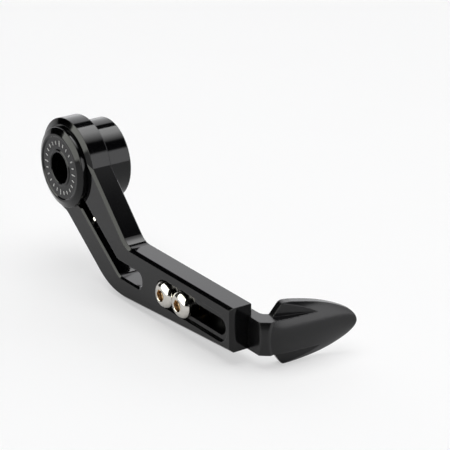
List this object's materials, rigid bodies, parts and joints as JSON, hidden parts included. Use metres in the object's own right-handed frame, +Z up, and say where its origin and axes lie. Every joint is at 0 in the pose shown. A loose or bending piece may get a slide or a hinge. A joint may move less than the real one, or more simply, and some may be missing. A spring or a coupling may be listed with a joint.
{
  "type": "hand lever guard",
  "caption": "Cranked hand lever guard: a split ring clamps on a hub for the handlebar end, and a leaf-shaped moulded tip slides along a slot in the arm.",
  "frame": {"origin": "on the axis of the bar bolt, on the hub face that meets the handlebar end", "axes": "+X along the straight arm towards the tip, +Y along the bolt into the handlebar, +Z up"},
  "size_m": [0.144, 0.0502, 0.0618],
  "materials": {
    "anodised_black": "black anodised, satin",
    "nylon_black": "moulded, fine matt grain",
    "stainless": "polished stainless steel",
    "brass": "turned"
  },
  "bodies": {
    "hub": {"bar_spacer": "anodised_black", "end_cap": "anodised_black"},
    "arm": {"guard_arm": "anodised_black", "clamp_screw": "stainless"},
    "tip": {"guard_tip": "nylon_black", "tip_screw_inner": "stainless", "tip_screw_outer": "stainless", "tip_insert_inner": "brass", "tip_insert_outer": "brass"}
  },
  "joints": [
    {"name": "arm_swivel", "type": "hinge", "parent": "hub", "child": "arm", "pos_m": [0, 0, 0], "axis": [0, 1, 0], "continuous": true},
    {"name": "tip_slide", "type": "slide", "parent": "arm", "child": "tip", "axis": [1, 0, 0], "range_m": [0, 0.023]}
  ]
}
